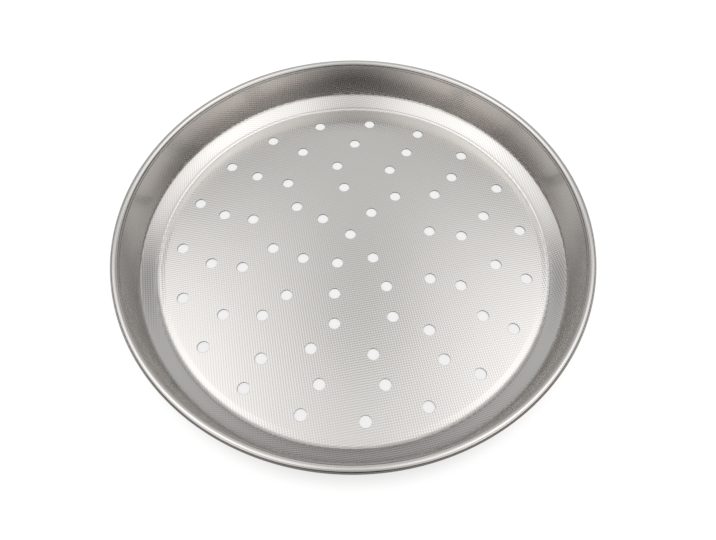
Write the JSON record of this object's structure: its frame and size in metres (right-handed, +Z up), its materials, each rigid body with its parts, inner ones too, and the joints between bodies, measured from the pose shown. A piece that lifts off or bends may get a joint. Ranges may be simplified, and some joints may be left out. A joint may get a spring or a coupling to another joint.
{
  "type": "pizza pan",
  "caption": "Round shallow perforated pizza pan pressed from textured sheet metal, with a flared wall and a wired rolled rim.",
  "frame": {"origin": "centre of the pan on the plane of its standing ring, which is the lowest face", "axes": "+Z up along the pan's axis of turning; +Y away from the viewer of the picture, +X to the right"},
  "size_m": [0.2366, 0.2366, 0.0264],
  "materials": {
    "pan_sheet": "satin, pressed with a fine diamond texture",
    "rim_wire": "drawn"
  },
  "bodies": {
    "root": {"pan_shell": "pan_sheet", "rim_wire": "rim_wire"}
  },
  "joints": []
}
